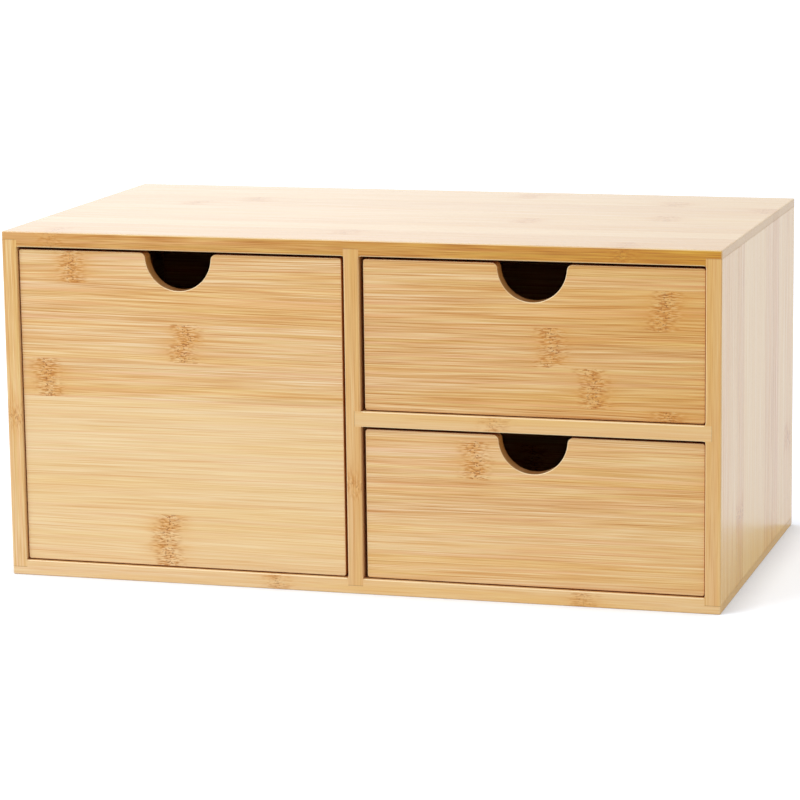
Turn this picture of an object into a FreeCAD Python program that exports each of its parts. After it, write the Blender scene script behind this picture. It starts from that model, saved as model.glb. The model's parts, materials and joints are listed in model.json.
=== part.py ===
import FreeCAD, Part
import math
import os

from FreeCAD import Vector

# A small bamboo cabinet for a desk: a case glued up from flat boards, with one large drawer on the left
# and two small ones stacked on the right. Lengths are millimetres. X runs to the right along the front,
# Y runs from the front to the rear, Z runs up, and the origin is under the middle of the case.

# Case, outside
case_width = 330.0
case_depth = 182.0
case_height = 159.0

# Case boards, thickness of each
case_board = 7.0
divider_board = 7.0
shelf_board = 7.0
back_board = 4.0

# Case joints, how deep a board sits in the one that holds it
side_housing = 3.4
divider_housing = 3.4
shelf_housing = 3.0
back_rebate = 3.4

# Sanded edges of the case: its outside, and the mouth of each bay with the turn of the tool in the corners
case_round = 0.6
mouth_round = 0.7
mouth_corner = 1.4

# Drawer boards, thickness of each
front_board = 7.0
side_board = 6.0
rear_board = 6.0
bottom_board = 3.0

# Drawer joints: the lip of the front over the ends of the sides, the ends of the rear board in the sides,
# and the groove that holds the thin bottom clear of the surface below
front_lip = 3.5
rear_housing = 3.0
groove_depth = 3.0
bottom_lift = 4.0
panel_play = 0.3

# Running play of a drawer in its bay: each drawer stands nearer to the outer side of the case
front_recess = 1.9
stop_play = 0.3
near_play = 0.3
far_play = 1.5
under_play = 0.3
top_play = 1.2

# Finger notch in the top edge of each drawer front
notch_radius = 15.5
notch_depth = 17.0
shoulder_round = 2.7

# Edges of the drawers: the face and the rims of the box are sanded round, the rear edges are broken flat,
# and the long edges of each box are rounded to its own radius
front_round = 0.5
rim_round = 0.6
rear_chamfer = 0.5
large_corner = 1.0
small_corner = 1.2

# How far a cutter runs past the surface it opens, and how near two planes count as one
overrun = 1.0
touch = 0.01

# Directions on a drawer's face as seen from the front, as angles from the right
right = 0
up = math.pi / 2
left = math.pi
down = up + left
full_turn = left + left

# Normal of the plane that a drawer's two sides are alike about
across = Vector(1, 0, 0)

# Planes of the case
left_face = -case_width / 2
right_face = case_width / 2
front_face = -case_depth / 2
rear_face = case_depth / 2
back_front = rear_face - back_board
bay_left = left_face + case_board
bay_right = right_face - case_board
divider_left = -divider_board / 2
divider_right = divider_board / 2
floor_top = case_board
ceiling = case_height - case_board
shelf_low = (floor_top + ceiling - shelf_board) / 2
shelf_high = shelf_low + shelf_board

# Bays that the drawers run in, as spans along X and Z
large_bay = ((bay_left, divider_left), (floor_top, ceiling))
upper_bay = ((divider_right, bay_right), (shelf_high, ceiling))
lower_bay = ((divider_right, bay_right), (floor_top, shelf_low))


def block(x, y, z):
    """Square-edged board between two planes along each axis."""
    corner = Vector(x[0], y[0], z[0])
    return Part.makeBox(x[1] - x[0], y[1] - y[0], z[1] - z[0], corner)


def line(start, end, y):
    """Straight edge between two (x, z) points in an upright plane."""
    return Part.LineSegment(Vector(start[0], y, start[1]), Vector(end[0], y, end[1])).toShape()


def arc(centre, radius, start, end, y):
    """Round edge about an (x, z) centre in an upright plane, between two directions."""
    points = []
    for turn in (start, (start + end) / 2, end):
        x = centre[0] + radius * math.cos(turn)
        z = centre[1] + radius * math.sin(turn)
        points.append(Vector(x, y, z))
    return Part.Arc(*points).toShape()


def plain_top(x, z, corner, y):
    """Straight top edge between two round corners."""
    return [line((x[0] + corner, z[1]), (x[1] - corner, z[1]), y)]


def notched_top(x, z, corner, y):
    """Top edge with the finger notch: a half-round that rolls over a shoulder at each side."""
    middle = (x[0] + x[1]) / 2
    notch_centre = z[1] - notch_depth + notch_radius
    shoulder_centre = z[1] - shoulder_round
    rise = notch_centre - shoulder_centre
    reach = math.sqrt((notch_radius + shoulder_round) ** 2 - rise ** 2)
    tilt = math.atan2(rise, reach)
    return [
        line((x[0] + corner, z[1]), (middle - reach, z[1]), y),
        arc((middle - reach, shoulder_centre), shoulder_round, up, tilt, y),
        arc((middle, notch_centre), notch_radius, left + tilt, full_turn - tilt, y),
        arc((middle + reach, shoulder_centre), shoulder_round, left - tilt, up, y),
        line((middle + reach, z[1]), (x[1] - corner, z[1]), y),
    ]


def round_prism(x, y, z, corner, top=plain_top):
    """Solid of one outline from front to rear, with round corners and the given top edge."""
    edges = top(x, z, corner, y[0])
    edges.append(arc((x[1] - corner, z[1] - corner), corner, up, right, y[0]))
    edges.append(line((x[1], z[1] - corner), (x[1], z[0] + corner), y[0]))
    edges.append(arc((x[1] - corner, z[0] + corner), corner, full_turn, down, y[0]))
    edges.append(line((x[1] - corner, z[0]), (x[0] + corner, z[0]), y[0]))
    edges.append(arc((x[0] + corner, z[0] + corner), corner, down, left, y[0]))
    edges.append(line((x[0], z[0] + corner), (x[0], z[1] - corner), y[0]))
    edges.append(arc((x[0] + corner, z[1] - corner), corner, left, up, y[0]))
    return Part.Face(Part.Wire(edges)).extrude(Vector(0, y[1] - y[0], 0))


def edges_between(solid, low, high):
    """Edges of a solid that lie between two corner points."""
    room = FreeCAD.BoundBox(low, high)
    room.enlarge(touch)
    return [edge for edge in solid.Edges if room.isInside(edge.BoundBox)]


def edges_in_upright_plane(solid, y):
    """Edges of a solid that lie in the plane facing the front at y."""
    box = solid.BoundBox
    return edges_between(solid, Vector(box.XMin, y, box.ZMin), Vector(box.XMax, y, box.ZMax))


def let_in(host, *guests):
    """Board with a housing cut for each board that it holds."""
    for guest in guests:
        host = host.cut(guest)
    return host


def sanded_case():
    """Hull of the glued case, rounded along its outside and, tool-turned in the corners, at each mouth."""
    outside = block((left_face, right_face), (front_face, rear_face), (0, case_height))
    hull = outside.makeFillet(case_round, outside.Edges)
    for x, z in (large_bay, upper_bay, lower_bay):
        hull = hull.cut(round_prism(x, (front_face - overrun, back_front), z, mouth_corner))
        mouth = edges_between(hull, Vector(x[0], front_face, z[0]), Vector(x[1], front_face, z[1]))
        hull = hull.makeFillet(mouth_round, mouth)
    return hull


def case_boards():
    """The seven boards of the case, each with its housings and its sanded edges."""
    depth = (front_face, rear_face)
    inner_depth = (front_face, back_front)
    top = block((left_face, right_face), depth, (ceiling, case_height))
    bottom = block((left_face, right_face), depth, (0, floor_top))
    side_height = (floor_top - side_housing, ceiling + side_housing)
    left_side = block((left_face, bay_left), depth, side_height)
    right_side = block((bay_right, right_face), depth, side_height)
    divider_height = (floor_top - divider_housing, ceiling + divider_housing)
    divider = block((divider_left, divider_right), inner_depth, divider_height)
    shelf_span = (divider_right - shelf_housing, bay_right + shelf_housing)
    shelf = block(shelf_span, inner_depth, (shelf_low, shelf_high))
    back_span = (bay_left - back_rebate, bay_right + back_rebate)
    back_height = (floor_top - back_rebate, ceiling + back_rebate)
    back = block(back_span, (back_front, rear_face), back_height)
    boards = {
        "top_panel": let_in(top, left_side, right_side, divider, back),
        "bottom_panel": let_in(bottom, left_side, right_side, divider, back),
        "left_side_panel": let_in(left_side, back),
        "right_side_panel": let_in(right_side, shelf, back),
        "centre_divider": let_in(divider, shelf),
        "middle_shelf": shelf,
        "back_panel": back,
    }
    hull = sanded_case()
    return {name: board.common(hull) for name, board in boards.items()}


class Drawer:
    """One drawer in its bay, pushed home: a notched front, two sides, a rear board and a thin bottom."""

    def __init__(self, bay, left_play, right_play, corner):
        """Places the outside of the drawer by its play in the bay."""
        bay_x, bay_z = bay
        self.x = (bay_x[0] + left_play, bay_x[1] - right_play)
        self.y = (front_face + front_recess, back_front - stop_play)
        self.z = (bay_z[0] + under_play, bay_z[1] - top_play)
        self.corner = corner

    def twin(self, left_board):
        """The same board on the right of the drawer."""
        middle = (self.x[0] + self.x[1]) / 2
        return left_board.mirror(Vector(middle, 0, 0), across)

    def hull(self):
        """Outside of the glued drawer, with round corners and its rear edges broken."""
        prism = round_prism(self.x, self.y, self.z, self.corner)
        return prism.makeChamfer(rear_chamfer, edges_in_upright_plane(prism, self.y[1]))

    def side_block(self):
        """Square left side, from the lip of the front to the rear."""
        return block((self.x[0], self.x[0] + side_board), (self.y[0] + front_lip, self.y[1]), self.z)

    def rear_block(self):
        """Square rear board, with its ends let into the sides."""
        into_side = side_board - rear_housing
        span = (self.x[0] + into_side, self.x[1] - into_side)
        return block(span, (self.y[1] - rear_board, self.y[1]), self.z)

    def bottom_block(self, play):
        """Thin bottom held by its grooves, or with no play the room that they give it."""
        into_side = side_board - groove_depth + play
        into_front = front_board - groove_depth + play
        into_rear = rear_board - groove_depth + play
        span = (self.x[0] + into_side, self.x[1] - into_side)
        depth = (self.y[0] + into_front, self.y[1] - into_rear)
        low = self.z[0] + bottom_lift
        return block(span, depth, (low, low + bottom_board))

    def front(self):
        """Front board with the finger notch, sanded round its face, its lips over the ends of the sides."""
        depth = (self.y[0], self.y[0] + front_board)
        board = round_prism(self.x, depth, self.z, self.corner, notched_top)
        board = board.makeFillet(front_round, edges_in_upright_plane(board, depth[0]))
        notch_foot = Vector(self.x[0] + self.corner, depth[1], self.z[1] - notch_depth)
        rim_end = Vector(self.x[1] - self.corner, depth[1], self.z[1])
        board = board.makeChamfer(rear_chamfer, edges_between(board, notch_foot, rim_end))
        side_room = self.side_block()
        return let_in(board, side_room, self.twin(side_room), self.bottom_block(0))

    def left_side(self):
        """Left side with its inner top edge sanded and the joints of the rear board and bottom."""
        inner = self.x[0] + side_board
        board = self.side_block()
        rim = edges_between(board, Vector(inner, self.y[0], self.z[1]), Vector(inner, self.y[1], self.z[1]))
        board = board.makeFillet(rim_round, rim)
        return let_in(board, self.rear_block(), self.bottom_block(0)).common(self.hull())

    def rear(self):
        """Rear board with its inner top edge sanded and the groove of the bottom."""
        inner = self.y[1] - rear_board
        board = self.rear_block()
        rim = edges_between(board, Vector(self.x[0], inner, self.z[1]), Vector(self.x[1], inner, self.z[1]))
        board = board.makeFillet(rim_round, rim)
        return let_in(board, self.bottom_block(0)).common(self.hull())

    def boards(self):
        """The five boards of the drawer."""
        left_side = self.left_side()
        return {
            "front": self.front(),
            "left_side": left_side,
            "right_side": self.twin(left_side),
            "back": self.rear(),
            "bottom": self.bottom_block(panel_play),
        }


drawers = {
    "large_drawer": Drawer(large_bay, near_play, far_play, large_corner),
    "upper_drawer": Drawer(upper_bay, far_play, near_play, small_corner),
    "lower_drawer": Drawer(lower_bay, far_play, near_play, small_corner),
}

pieces = case_boards()
for drawer_name, drawer in drawers.items():
    for board_name, board in drawer.boards().items():
        pieces[drawer_name + "_" + board_name] = board

os.makedirs("parts", exist_ok=True)
for name, solid in pieces.items():
    solid.exportStep("parts/" + name + ".step")
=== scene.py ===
import json
import math
from dataclasses import dataclass

import bmesh
import bpy
from mathutils import Matrix, Vector


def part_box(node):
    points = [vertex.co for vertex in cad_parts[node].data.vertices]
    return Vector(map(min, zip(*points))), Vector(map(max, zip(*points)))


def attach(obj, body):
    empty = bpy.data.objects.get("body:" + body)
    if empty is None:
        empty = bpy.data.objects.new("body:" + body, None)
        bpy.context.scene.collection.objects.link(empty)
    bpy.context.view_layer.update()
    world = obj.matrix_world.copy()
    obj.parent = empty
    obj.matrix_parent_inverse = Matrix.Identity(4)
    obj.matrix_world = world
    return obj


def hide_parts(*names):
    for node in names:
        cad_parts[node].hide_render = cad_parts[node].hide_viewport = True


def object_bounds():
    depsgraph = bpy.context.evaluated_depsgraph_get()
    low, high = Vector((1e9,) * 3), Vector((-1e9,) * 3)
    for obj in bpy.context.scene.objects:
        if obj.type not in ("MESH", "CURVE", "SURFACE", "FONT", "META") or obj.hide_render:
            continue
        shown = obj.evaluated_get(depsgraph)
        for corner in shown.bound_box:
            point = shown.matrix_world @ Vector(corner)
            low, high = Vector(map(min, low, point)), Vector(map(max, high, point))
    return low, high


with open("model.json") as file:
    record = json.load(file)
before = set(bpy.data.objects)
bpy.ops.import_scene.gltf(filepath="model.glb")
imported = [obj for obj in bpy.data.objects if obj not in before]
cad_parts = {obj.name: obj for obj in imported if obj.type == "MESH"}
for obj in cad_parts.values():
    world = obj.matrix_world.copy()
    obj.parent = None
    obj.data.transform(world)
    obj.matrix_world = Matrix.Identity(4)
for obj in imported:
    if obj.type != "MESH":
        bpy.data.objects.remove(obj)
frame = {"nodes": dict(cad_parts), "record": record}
cad_low, cad_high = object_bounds()

# Directions, as places in a coordinate
X, Y, Z = 0, 1, 2


def millimetres(value):
    """Length in metres."""
    return value / 1000


# Camera, in metres, millimetres and degrees
camera_place = Vector((0.42519, -1.45171, 0.35425))
camera_lens = 147.77
camera_sensor = 36.0
camera_turn = 16.514
camera_dip = 10.591
camera_roll = 0.770
camera_reach = 50.0

# Room: its level as light and as background, and the brighter part that the lacquer mirrors, with the
# cosines at which it begins and is full
white = (1.0, 1.0, 1.0, 1.0)
room_level = 0.70
background_level = 1.0
sheen_level = 0.35
sheen_direction = Vector((-0.5, 0.86, 0.1)).normalized()
sheen_begins = 0.93
sheen_full = 0.995

# Soft box, in metres and watts
lamp_place = (-0.75, -0.95, 1.25)
lamp_target = (-0.05, 0.0, 0.08)
lamp_side = 0.8
lamp_power = 10.3

# Floor: half its side in metres, its colours as light and the camera find it, its glow a little way from
# what stands on it, which paints a contact shadow, and more glow farther off, where that painted shadow
# fades
floor_reach = 6.0
paper_colour = (0.85, 0.85, 0.85, 1.0)
seen_colour = (0.715, 0.75, 0.81, 1.0)
contact_glow = 0.5
no_unshadowed_glow = (0.0, 0.0, 0.0, 1.0)
unshadowed_glow_colour = (0.10, 0.14, 0.20, 1.0)

# Floor as the lacquer mirrors it: near the cabinet, where it is dim and warm as a painted shadow, and away
# from it
dim_colour = (0.86, 0.78, 0.66, 1.0)
dim_glow = (0.27, 0.20, 0.08, 1.0)
clear_glow = (1.12, 1.12, 1.15, 1.0)

# Distances over which the floor's painted shadow spreads from what stands on it
contact_reach = millimetres(16)
shade_reach = millimetres(200)

# Meshes of the boards: points this close are one, edges this flat are dissolved, and sharper ones stay sharp
merge_distance = millimetres(0.002)
flat_angle = math.radians(0.2)
sharp_angle = math.radians(32)

# Strips that the boards are laminated from: their width, and how far chance sets patterns and tones apart
strip = millimetres(17.5)
strip_key = 0.37
shift_spread = 3.1
tone_spread = 0.3

# Knots: how far apart they lie where none is given, how ragged and slanted they are, and how wide in parts
knot_spacing = 0.25
knot_ragged = millimetres(5)
knot_slant = millimetres(6)
knot_core = millimetres(2.8)
knot_near = millimetres(9)
knot_halo = millimetres(16)
band_inside = millimetres(3)
band_outside = millimetres(9.5)

# Fibres: how high they wave along a board, how high they curl by a knot, and how high they stand
wave_height = millimetres(1.4)
curl_height = millimetres(0.7)
relief_height = millimetres(0.05)

# Depth of plain wood, and how much each kind of fibre adds to it or takes away
plain_depth = 0.40
broad_depth = 0.12
dark_depth = 0.34
pale_depth = 0.29
fine_depth = 2.1

# How lively the fibres are in a strip of middle tone, how much that rises with its depth, and at least
lively_level = 0.7
lively_rise = 1.5
lively_least = 0.36

# Painted shade in the gaps: how near another board must be to darken the wood, and how dark it gets
gap_reach = millimetres(3)
painted_gap_depth = 0.96

# Depths over which the lacquer gives way to unlacquered wood darkened as painted shade, heights over which
# the painted gap shade sets in above the foot, and depths over which a glue line fades
lacquer_ends = millimetres(0.5)
bare_begins = millimetres(1.5)
bare_and_shaded_depth = 0.35
foot_begins = millimetres(0.5)
foot_ends = millimetres(3)
glue_inside = millimetres(0.15)
glue_outside = millimetres(0.4)


class Wire:
    """An output of a node, with sums that add Math nodes behind it."""

    def __init__(self, finish, socket):
        self.finish = finish
        self.socket = socket

    def maths(self, operation, *values):
        return self.finish.maths(operation, self, *values)

    def __add__(self, other):
        return self.maths("ADD", other)

    __radd__ = __add__

    def __mul__(self, other):
        return self.maths("MULTIPLY", other)

    __rmul__ = __mul__

    def __sub__(self, other):
        return self.maths("SUBTRACT", other)

    def __rsub__(self, other):
        return self.finish.maths("SUBTRACT", other, self)

    def __truediv__(self, other):
        return self.maths("DIVIDE", other)

    def __neg__(self):
        return self * -1

    def __abs__(self):
        return self.maths("ABSOLUTE")


class Finish:
    """The nodes of a material, or of the room."""

    def __init__(self, owner):
        self.owner = owner
        owner.use_nodes = True
        self.tree = owner.node_tree
        self.tree.nodes.clear()

    def node(self, kind, settings=None, inputs=None, output=0):
        """Adds a node, sets it, feeds its sockets and gives one of its outputs."""
        made = self.tree.nodes.new(kind)
        for name, value in (settings or {}).items():
            if name == "stops":
                self.set_stops(made.color_ramp, value)
            else:
                setattr(made, name, value)
        for socket, value in (inputs or {}).items():
            if isinstance(value, Wire):
                self.tree.links.new(value.socket, made.inputs[socket])
            else:
                made.inputs[socket].default_value = value
        return Wire(self, made.outputs[output])

    def set_stops(self, ramp, stops):
        """Gives a colour ramp its stops, as places and colours."""
        while len(ramp.elements) > 1:
            ramp.elements.remove(ramp.elements[-1])
        for index, (place, colour) in enumerate(stops):
            stop = ramp.elements.new(place) if index else ramp.elements[0]
            stop.position = place
            stop.color = colour

    def maths(self, operation, *values):
        return self.node("ShaderNodeMath", {"operation": operation}, dict(enumerate(values)))

    def vector(self, x, y, z):
        return self.node("ShaderNodeCombineXYZ", inputs={"X": x, "Y": y, "Z": z})

    def split(self, vector):
        """The three parts of a vector."""
        parts = self.node("ShaderNodeSeparateXYZ", inputs={"Vector": vector}).socket.node
        return [Wire(self, parts.outputs[axis]) for axis in (X, Y, Z)]

    def noise(self, place, detail):
        """Smooth noise from 0 to 1."""
        inputs = {"Vector": place, "Scale": 1.0, "Detail": detail, "Roughness": 0.5}
        return self.node("ShaderNodeTexNoise", {"noise_dimensions": "3D"}, inputs)

    def chance(self, number):
        """A random value from 0 to 1 that goes with a number."""
        return self.node("ShaderNodeTexWhiteNoise", {"noise_dimensions": "1D"}, {"W": number})

    def between(self, value, low, high):
        """0 below low, 1 above high and a smooth rise between them."""
        inputs = {"Value": value, "From Min": low, "From Max": high}
        return self.node("ShaderNodeMapRange", {"interpolation_type": "SMOOTHSTEP"}, inputs)

    def fading(self, value, low, high):
        """1 below low, 0 above high and a smooth fall between them."""
        return self.between(-value, -high, -low)

    def bell(self, distance, width):
        """1 at no distance, fading over a width."""
        ratio = distance / width
        return (-(ratio * ratio)).maths("EXPONENT")

    def openness(self, reach, samples):
        """1 where nothing is within reach, and less the more is."""
        settings = {"samples": samples}
        return self.node("ShaderNodeAmbientOcclusion", settings, {"Distance": reach}, output="AO")

    def mix(self, share, first, second, blend="MIX"):
        """Colour between two colours."""
        settings = {"data_type": "RGBA", "blend_type": blend}
        return self.node("ShaderNodeMix", settings, {0: share, 6: first, 7: second}, output=2)

    def tinted(self, colour, layers):
        """A colour under layers of tint, each given by where it lies, its strength and its colour."""
        for where, strength, tint in layers:
            colour = self.mix(where * strength, colour, tint)
        return colour

    def diffuse(self, colour):
        return self.node("ShaderNodeBsdfDiffuse", inputs={"Color": colour})

    def glow(self, colour):
        return self.node("ShaderNodeEmission", inputs={"Color": colour})

    def both(self, first, second):
        """Two shaders added up."""
        return self.node("ShaderNodeAddShader", inputs={0: first, 1: second})

    def either(self, share, first, second):
        """A shader between two shaders."""
        return self.node("ShaderNodeMixShader", inputs={0: share, 1: first, 2: second})

    def surface(self, shader, kind="ShaderNodeOutputMaterial"):
        """Ends the nodes in an output, and gives what they belong to."""
        output = self.tree.nodes.new(kind)
        self.tree.links.new(shader.socket, output.inputs["Surface"])
        return self.owner


def linear(red, green, blue):
    """Linear colour of a screen colour given in 0 to 255."""
    parts = []
    for value in (red, green, blue):
        share = value / 255
        parts.append(share / 12.92 if share <= 0.04045 else ((share + 0.055) / 1.055) ** 2.4)
    return (*parts, 1.0)


# Colours of the wood
straw = linear(246, 220, 172)
honey = linear(231, 189, 130)
tan = linear(206, 150, 84)
brown = linear(180, 118, 56)
# Pale cream painted as a highlight on the rounded edges
highlight_cream = linear(255, 234, 190)
amber = linear(212, 144, 76)
rose = linear(236, 183, 138)
reed = linear(226, 194, 124)
resin = linear(222, 162, 82)
rust = linear(194, 126, 50)
scorch = linear(152, 88, 32)
glue = linear(120, 84, 50)
cut_amber = linear(212, 150, 74)
# Darker brown for sawn walls that face across the grain, painted shade
cut_shade_brown = linear(150, 96, 48)
end_grey = linear(206, 168, 112)

# Colours that the wood is multiplied by
gold = (0.84, 0.68, 0.10, 1.0)
# Umber darkens wood behind the outside: unlacquered wood, and painted shade in the recesses
umber = (0.80, 0.50, 0.28, 1.0)
# Deep red painted as shade in the gaps between boards
painted_gap_shade = (0.52, 0.12, 0.03, 1.0)
cool_cast = (1.01, 1.045, 1.18, 1.0)
warm_cast = (0.99, 0.955, 0.82, 1.0)


@dataclass
class Lay:
    """How a board is laminated and finished."""

    # Which way the grain runs, and which way the strips lie side by side from their first joint on
    grain: int
    across: int
    first_joint: float

    # A number that sets the board's fibres apart from those of the others
    seed: float

    # Tone of each strip from the first joint on, or none to leave it to chance
    tones: tuple = ()

    # Knots, each by its place along the grain and the number of its strip
    knots: tuple = ()

    # How much deeper the whole board is, and its edges
    tint: float = 0.0
    edge_tint: float = 0.0

    # How much gold the board has, and how fast that grows along the grain, which paints shade where the
    # light falls off along it, then the same for its edges
    gold: float = 0.0
    gold_and_shade_drift: float = 0.0
    edge_gold: float = 0.0
    edge_gold_and_shade_drift: float = 0.0

    # How much of the streaks shows on the edges, how strong the painted highlight on the rounds is, and how
    # calm the broad faces
    edge_life: float = 0.5
    round_highlight: float = 0.8
    calm: float = 0.0

    # Colour of the end grain
    end: tuple = cut_amber

    # How far the lacquered face lies behind the outside of the cabinet
    sunk: float = 0.0

    # Whether glue lines show at its ends, and how strongly its walls are sawn
    glued: bool = False
    sawn: float = 0.0

    @property
    def through(self):
        """The direction through the board."""
        return X + Y + Z - self.grain - self.across


class Bamboo(Finish):
    """Laminated bamboo under clear lacquer: straw-coloured strips with fine fibres and knots.

    Where a place is multiplied by a number, the pattern has that many waves in a metre.
    """

    def __init__(self, name, lay):
        super().__init__(bpy.data.materials.new(name + "_bamboo"))
        self.name = name
        self.lay = lay
        self.place = self.split(self.node("ShaderNodeTexCoord", output="Object"))
        self.along = self.place[lay.grain]
        self.over = self.place[lay.across]
        self.through = self.place[lay.through]
        self.lay_strips()
        self.find_faces()
        self.find_knots()
        self.draw_fibres()
        self.draw_glue_line()
        self.surface(self.lacquered(self.with_cuts(self.with_knots(self.streaked()))))

    def lay_strips(self):
        """One row of strips after another, each with a tone and a shift of its own."""
        lay = self.lay
        self.row = ((self.over - lay.first_joint) / strip).maths("FLOOR")
        self.luck = self.chance(self.row + lay.seed + strip_key)
        self.shift = self.luck * shift_spread + lay.seed
        if not lay.tones:
            self.tone = (self.luck - 0.5) * tone_spread
            return
        stops = []
        for index, value in enumerate(lay.tones):
            level = value + 0.5
            stops.append((index / len(lay.tones), (level, level, level, 1.0)))
        share = (self.row + 0.5) / len(lay.tones)
        ramp = self.node("ShaderNodeValToRGB", {"stops": stops}, {"Fac": share})
        ramp.socket.node.color_ramp.interpolation = "CONSTANT"
        self.tone = ramp - 0.5

    def find_faces(self):
        """Which face of the board the surface is on, how open it lies and how far behind the outside."""
        lay = self.lay
        facing = self.split(self.node("ShaderNodeNewGeometry", output="True Normal"))
        self.edge = facing[lay.across].maths("POWER", 2.0)
        self.end = facing[lay.grain].maths("POWER", 4.0)
        self.flat = facing[lay.through].maths("POWER", 2.0)
        openness = self.openness(gap_reach, samples=4)
        self.open = self.between(openness, 0.05, 0.5)
        self.find_rounds(facing, self.between(openness, 0.45, 0.8))
        behind = 1.0
        for axis in (X, Y, Z):
            behind = (self.place[axis] - cad_low[axis]).maths("MINIMUM", behind)
            behind = (cad_high[axis] - self.place[axis]).maths("MINIMUM", behind)
        self.bare_and_shaded = self.between(behind - lay.sunk, lacquer_ends, bare_begins)
        self.above_foot = self.between(self.place[Z] - cad_low[Z], foot_begins, foot_ends)

    def find_rounds(self, facing, proud):
        """Rounds with a painted highlight: where they stand proud and aren't sawn, and less where they face
        right, away from the lamp.
        """
        slanted = abs(facing[X]).maths("MAXIMUM", abs(facing[Y])).maths("MAXIMUM", abs(facing[Z]))
        cut = self.fading(self.flat, 0.02, 0.15) * self.lay.sawn
        lit = 1 - self.between(facing[X], 0.1, 0.6) * 0.7
        self.painted_round_highlight = self.fading(slanted, 0.9, 0.985) * proud * (1 - cut) * lit

    def find_knots(self):
        """How near the surface is to a knot of its own strip."""
        lay = self.lay
        wobble = self.vector(self.along * 40, self.over * 900 + self.shift, self.through * 900)
        ragged = self.noise(wobble, detail=1.0) - 0.5
        slant = self.noise(self.vector(self.shift, self.over * 130, self.through * 130), detail=0.0) - 0.5
        along = self.along + ragged * knot_ragged + slant * knot_slant
        if lay.knots:
            distance = 1.0
            for place, knot_row in lay.knots:
                distance = (abs(along - place) + abs(self.row - knot_row)).maths("MINIMUM", distance)
        else:
            turn = along / knot_spacing - self.chance(self.row + lay.seed)
            distance = abs(turn.maths("FRACT") - 0.5) * knot_spacing
        shown = 1 - self.flat * lay.calm - self.edge * 0.45
        self.core = self.bell(distance, knot_core) * shown
        self.near = self.bell(distance, knot_near) * shown
        self.halo = self.bell(distance, knot_halo) * shown
        self.band = self.fading(distance, band_inside, band_outside) * shown

    def fibres(self, length_waves, width_waves, detail=1.0):
        """Noise from -0.5 to 0.5, drawn out along the bent grain."""
        along = self.along * length_waves + self.shift
        place = self.vector(along, self.bent * width_waves, self.through * width_waves)
        return self.noise(place, detail) - 0.5

    def draw_fibres(self):
        """Fibres in long lazy waves, curled in short dashes around a knot."""
        along, over, through, shift = self.along, self.over, self.through, self.shift
        wave = self.noise(self.vector(along * 11 + shift, over * 70, through * 70), detail=1.0) - 0.5
        curl = self.noise(self.vector(along * 150, over * 360 + shift, through * 360), detail=1.0) - 0.5
        lean = along * (self.luck - 0.5) * 0.03
        waving = wave * (self.halo * 1.4 + 0.35) * wave_height
        self.bent = over + lean + waving + curl * self.near * curl_height
        self.broad = self.fibres(5, 560)
        self.lines = self.fibres(11, 1950, detail=2.0)
        self.fine = self.fibres(32, 2700)
        self.hue = self.fibres(8, 640, detail=2.0)
        self.cast = self.fibres(6, 210, detail=2.0)
        self.dashes = self.fibres(300, 2000)
        self.dark = self.between(self.lines, 0.03, 0.17)
        self.pale = self.between(-self.lines, 0.05, 0.2)
        self.grit = self.noise(self.vector(along * 900, over * 1300, through * 1300), detail=1.0)
        self.patch = self.noise(self.vector(along * 70 + shift, over * 220, through * 220), detail=1.0)

    def draw_glue_line(self):
        """The dark line where a housed board ends against the board that holds it."""
        if not self.lay.glued:
            self.glue_line = 0.0
            return
        places = [corner[self.lay.grain] for corner in frame["nodes"][self.name].bound_box]
        to_end = (self.along - min(places)).maths("MINIMUM", max(places) - self.along)
        self.glue_line = self.fading(to_end, glue_inside, glue_outside)

    def streaked(self):
        """Colour of the strips and their fibres, livelier where a strip is deep."""
        lay = self.lay
        lively = (self.tone * lively_rise + lively_level).maths("MAXIMUM", lively_least)
        lively = lively * (1 - self.flat * lay.calm)
        streaky = lively * (self.edge * (lay.edge_life - 1) + 1)
        streaks = self.broad * broad_depth + self.dark * dark_depth - self.pale * pale_depth
        streaks = streaks + self.fine * fine_depth
        depth = self.tone + lay.tint + streaks * streaky + self.edge * lay.edge_tint + plain_depth
        stops = [(0.0, straw), (0.4, honey), (0.8, tan), (1.0, brown)]
        colour = self.node("ShaderNodeValToRGB", {"stops": stops}, {"Fac": depth * 0.8})
        rosy = self.between(self.hue, 0.02, 0.2)
        green = self.between(-self.hue, 0.02, 0.2)
        layers = [
            (self.dark * streaky, 0.45, amber),
            (rosy * streaky, 0.55, rose),
            (green * streaky, 0.45, reed),
        ]
        cast = self.mix(self.cast * lively * 4 + 0.5, cool_cast, warm_cast)
        return self.mix(1.0, self.tinted(colour, layers), cast, "MULTIPLY")

    def with_knots(self, colour):
        """Knots: resin around them, dark and pale dashes across them, and specks at the core."""
        resinous = self.between(self.patch, 0.36, 0.6) + 0.4
        dark_dashes = self.between(self.dashes, 0.0, 0.12)
        pale_dashes = self.between(-self.dashes, 0.03, 0.14)
        specks = self.between(self.grit, 0.54, 0.66)
        layers = [
            (resinous * self.near, 0.55, resin),
            (dark_dashes * self.band, 0.8, rust),
            (pale_dashes * self.band, 0.4, straw),
            (specks * self.core, 0.8, scorch),
        ]
        return self.tinted(colour, layers)

    def with_cuts(self, colour):
        """Gold that grows along the grain as painted shade, unlacquered wood and painted shade behind the
        outside, end grain, sawn walls with painted shade across the grain, painted highlights on the rounds,
        glue, and painted shade in the gaps.
        """
        lay = self.lay
        # Gold of the board and its edges; how it grows along the grain is painted shade
        edge_gold = self.along * lay.edge_gold_and_shade_drift + lay.edge_gold
        golden_and_shaded = self.along * lay.gold_and_shade_drift + self.edge * edge_gold + lay.gold
        colour = self.mix(golden_and_shaded, colour, gold, "MULTIPLY")
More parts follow.
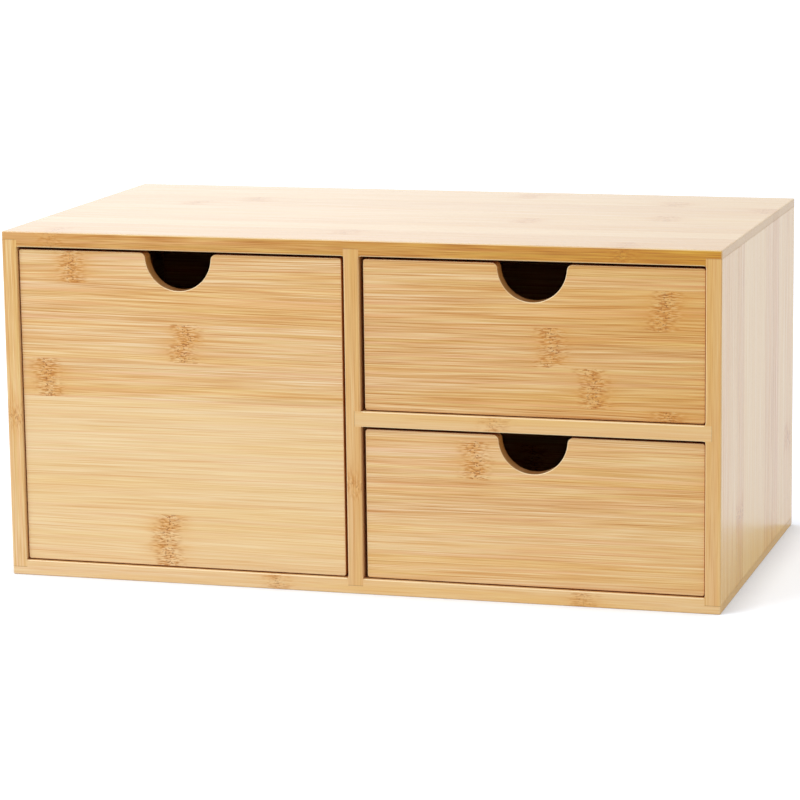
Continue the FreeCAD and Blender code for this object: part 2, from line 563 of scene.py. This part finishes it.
        # Umber behind the outside: unlacquered wood, and painted shade in the recesses
        colour = self.mix(self.bare_and_shaded * bare_and_shaded_depth, colour, umber, "MULTIPLY")
        sawn = self.fading(self.flat, 0.3, 0.7)
        layers = [
            (self.end, 0.7, lay.end),
            # Sawn walls, turning brown as painted shade where they face across the grain
            (sawn, lay.sawn, self.mix(self.edge, cut_amber, cut_shade_brown)),
            # Painted highlight on the rounds
            (self.painted_round_highlight, lay.round_highlight, highlight_cream),
            (self.glue_line, 0.4, glue),
        ]
        colour = self.tinted(colour, layers)
        # Painted shade in the gaps, where another board is near, kept off the foot
        return self.mix((1 - self.open) * self.above_foot * painted_gap_depth, colour, painted_gap_shade, "MULTIPLY")

    def lacquered(self, colour):
        """The wood under its lacquer, which thins out behind the outside."""
        height = self.lines + self.fine * 0.8 + self.dashes * self.band
        relief = {"Strength": 0.25, "Distance": relief_height, "Height": height}
        inputs = {
            "Base Color": colour,
            "Roughness": 0.5 + self.lines * 0.3 + self.band * 0.05,
            "Normal": self.node("ShaderNodeBump", inputs=relief),
            "IOR": 1.3,
            "Coat Weight": (1 - self.bare_and_shaded * 0.8) * (1 - self.end * 0.25) * (1 - self.glue_line * 0.8),
            "Coat Roughness": 0.2,
            "Coat IOR": 1.3,
        }
        return self.node("ShaderNodeBsdfPrincipled", inputs=inputs)


def finished_board(node, material, body):
    """Puts a finished piece in the place of a board: its mesh merged, with rounds smooth and faces flat."""
    board = bmesh.new()
    board.from_mesh(frame["nodes"][node].data)
    bmesh.ops.remove_doubles(board, verts=board.verts, dist=merge_distance)
    bmesh.ops.dissolve_limit(board, angle_limit=flat_angle, verts=board.verts, edges=board.edges)
    mesh = bpy.data.meshes.new(node + "_finished")
    board.to_mesh(mesh)
    board.free()
    mesh.shade_smooth()
    mesh.set_sharp_from_angle(angle=sharp_angle)
    mesh.materials.append(material)
    piece = bpy.data.objects.new(node + "_finished", mesh)
    bpy.context.scene.collection.objects.link(piece)
    smooth = piece.modifiers.new("flat faces", "WEIGHTED_NORMAL")
    smooth.keep_sharp = True
    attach(piece, body)
    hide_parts(node)


# How each kind of board is laid, with its places in metres
front_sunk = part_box("large_drawer_front")[0][Y] - cad_low[Y]
lays = {
    # Top panel: its gold and its edges deepen along the grain as painted shade of the lamp's falloff
    "top_panel": Lay(
        X, Y, first_joint=-0.091, seed=1.0, edge_tint=0.3, gold=0.02, gold_and_shade_drift=0.62, edge_gold=0.6,
        edge_gold_and_shade_drift=1.45, edge_life=0.9, round_highlight=0.6, calm=0.3, end=end_grey,
        knots=(
            (-0.141, 0), (0.122, 0), (-0.009, 1), (0.060, 4), (0.120, 5),
            (-0.112, 6), (-0.088, 7), (0.160, 7), (0.115, 8), (0.040, 9),
        ),
    ),
    # Bottom panel: its paler edge is painted light from the floor in front, and its gold grows along the
    # grain as painted shade
    "bottom_panel": Lay(
        X, Y, first_joint=-0.091, seed=2.0, edge_tint=-0.22, gold=0.067, gold_and_shade_drift=0.71, edge_life=0.3,
        end=end_grey, knots=((-0.037, 0), (0.104, 0), (0.020, 2), (-0.110, 4), (0.070, 6), (-0.060, 8)),
    ),
    "left_side_panel": Lay(
        Z, Y, first_joint=-0.0904, seed=3.0, glued=True, gold=-0.1, gold_and_shade_drift=2.5, edge_tint=-0.15,
        edge_life=0.7, round_highlight=0.3, knots=((0.0734, -1), (0.121, 3), (0.030, 6)),
    ),
    # Right side panel: more gold towards the foot, painted where the lacquer mirrors less light
    "right_side_panel": Lay(
        Z, Y, first_joint=-0.0904, seed=4.0, glued=True, gold=0.36, gold_and_shade_drift=-1.3, edge_tint=0.1,
        edge_gold=-0.26, edge_gold_and_shade_drift=3.2, round_highlight=0.4, knots=((0.035, 2), (0.046, 9)),
        tones=(0.0, -0.04, 0.2, -0.24, -0.2, -0.18, 0.1, 0.25, -0.14, -0.02, -0.08),
    ),
    "centre_divider": Lay(
        Z, Y, first_joint=-0.0904, seed=5.0, glued=True, tint=0.08, gold=0.03, gold_and_shade_drift=1.7, round_highlight=0.4,
        knots=((0.049, -1), (0.1, 4)),
    ),
    "middle_shelf": Lay(
        X, Y, first_joint=-0.0904, seed=6.0, glued=True, gold=0.14, edge_life=0.35,
        knots=((0.0637, -1), (0.12, 5)),
    ),
    "large_drawer_front": Lay(
        X, Z, first_joint=-0.0038, seed=7.0, gold=0.03, round_highlight=0.9, sawn=0.8, sunk=front_sunk,
        tones=(-0.2, -0.22, -0.2, -0.22, -0.2, 0.06, 0.03, 0.12, 0.11),
        knots=((-0.089, 0), (-0.089, 1), (-0.1455, 5), (-0.079, 6), (-0.133, 8)),
    ),
    "upper_drawer_front": Lay(
        X, Z, first_joint=0.0705, seed=8.0, tint=0.06, gold=0.044, gold_and_shade_drift=2.0, round_highlight=0.9, sawn=0.8,
        sunk=front_sunk, tones=(0.16, 0.1, 0.16, 0.12, 0.08),
        knots=((0.141, 0), (0.1084, 1), (0.0903, 2), (0.1396, 3)),
    ),
    "lower_drawer_front": Lay(
        X, Z, first_joint=0.0015, seed=9.0, gold=-0.044, gold_and_shade_drift=1.5, round_highlight=0.9, sawn=0.8,
        sunk=front_sunk, tones=(0.0, -0.04, 0.1, 0.04, 0.06), knots=((0.0553, 3),),
    ),
    "drawer_sides": Lay(Y, Z, first_joint=0.0705, seed=10.0),
    "drawer_backs": Lay(X, Z, first_joint=0.0705, seed=11.0),
    "drawer_bottoms": Lay(X, Y, first_joint=-0.0904, seed=12.0),
    "back_panel": Lay(X, Z, first_joint=0.0015, seed=13.0),
}


def kind_of(node):
    """How a node is laid: in its own way, or in that of its kind of drawer board."""
    if node in lays:
        return node
    if node.endswith("_side"):
        return "drawer_sides"
    if node.endswith("_back"):
        return "drawer_backs"
    return "drawer_bottoms"


def finish_boards():
    """Puts a finished piece in the place of every board of every body."""
    materials = {name: Bamboo(name, lay).owner for name, lay in lays.items()}
    for body, nodes in frame["record"]["behaviour"]["bodies"].items():
        for node in nodes:
            finished_board(node, materials[kind_of(node)], body)


def add_camera():
    """Camera at the photograph's place, turned, dipped and rolled as it was."""
    turn, dip, roll = (math.radians(value) for value in (camera_turn, camera_dip, camera_roll))
    forward = Vector((-math.sin(turn) * math.cos(dip), math.cos(turn) * math.cos(dip), -math.sin(dip)))
    level = Vector((math.cos(turn), math.sin(turn), 0.0))
    down = forward.cross(level)
    right = level * math.cos(roll) + down * math.sin(roll)
    below = down * math.cos(roll) - level * math.sin(roll)
    pose = Matrix((right, -below, -forward)).transposed().to_4x4()
    pose.translation = camera_place
    data = bpy.data.cameras.new("camera")
    data.lens = camera_lens
    data.sensor_width = camera_sensor
    data.clip_end = camera_reach
    camera = bpy.data.objects.new("camera", data)
    camera.matrix_world = pose
    bpy.context.scene.collection.objects.link(camera)
    bpy.context.scene.camera = camera


def seen_directly(finish):
    """1 for rays from the camera, and for those seen in gloss or through glass."""
    rays = finish.node("ShaderNodeLightPath", output="Is Camera Ray")
    outputs = rays.socket.node.outputs
    gloss = Wire(finish, outputs["Is Glossy Ray"])
    through = Wire(finish, outputs["Is Transmission Ray"])
    return rays.maths("MAXIMUM", gloss).maths("MAXIMUM", through)


def add_room():
    """White surroundings: a plain level as light, white where seen, and brighter in the sheen."""
    finish = Finish(bpy.data.worlds.new("room"))
    direction = finish.node("ShaderNodeTexCoord", output="Generated")
    towards = {0: direction, 1: sheen_direction}
    aligned = finish.node("ShaderNodeVectorMath", {"operation": "DOT_PRODUCT"}, towards, output="Value")
    gloss = finish.node("ShaderNodeLightPath", output="Is Glossy Ray")
    sheen = finish.between(aligned, sheen_begins, sheen_full) * gloss * sheen_level
    level = seen_directly(finish) * (background_level - room_level) + room_level + sheen
    light = finish.node("ShaderNodeBackground", inputs={"Color": white, "Strength": level})
    bpy.context.scene.world = finish.surface(light, "ShaderNodeOutputWorld")


def floor_material():
    """White paper as light finds it, as the camera sees it with its shadow and a painted contact shadow, and
    as lacquer mirrors it with a painted shadow near the cabinet.
    """
    finish = Finish(bpy.data.materials.new("floor_white"))
    close = finish.openness(contact_reach, samples=8)
    wide = finish.openness(shade_reach, samples=8)
    # The glow fades near the cabinet, painting a contact shadow
    lifted = finish.both(finish.diffuse(seen_colour), finish.glow(close * contact_glow))
    unshadowed_glow = finish.mix(finish.between(wide, 0.66, 0.86), no_unshadowed_glow, unshadowed_glow_colour)
    seen = finish.both(lifted, finish.glow(unshadowed_glow))
    dim = finish.both(finish.diffuse(dim_colour), finish.glow(dim_glow))
    # As mirrored, the floor is painted dim near the cabinet
    around = finish.either(finish.between(wide, 0.62, 0.8), dim, finish.glow(clear_glow))
    gloss = finish.node("ShaderNodeLightPath", output="Is Glossy Ray")
    mirrored = finish.either(gloss, seen, around)
    return finish.surface(finish.either(seen_directly(finish), finish.diffuse(paper_colour), mirrored))


def add_floor():
    """Plain white floor that keeps the shadow of the cabinet, with a painted contact shadow added."""
    far = floor_reach
    mesh = bpy.data.meshes.new("floor")
    mesh.from_pydata([(-far, -far, 0), (far, -far, 0), (far, far, 0), (-far, far, 0)], [], [(0, 1, 2, 3)])
    mesh.materials.append(floor_material())
    floor = bpy.data.objects.new("floor", mesh)
    bpy.context.scene.collection.objects.link(floor)


def add_lamp():
    """Square soft box that looks at the cabinet."""
    data = bpy.data.lights.new("key_softbox", "AREA")
    data.shape = "SQUARE"
    data.size = lamp_side
    data.energy = lamp_power
    lamp = bpy.data.objects.new("key_softbox", data)
    aim = Vector(lamp_target) - Vector(lamp_place)
    lamp.matrix_world = Matrix.Translation(lamp_place) @ aim.to_track_quat("-Z", "Y").to_matrix().to_4x4()
    bpy.context.scene.collection.objects.link(lamp)


finish_boards()
add_camera()
add_room()
add_floor()
add_lamp()

bpy.context.scene.view_settings.view_transform = "Standard"
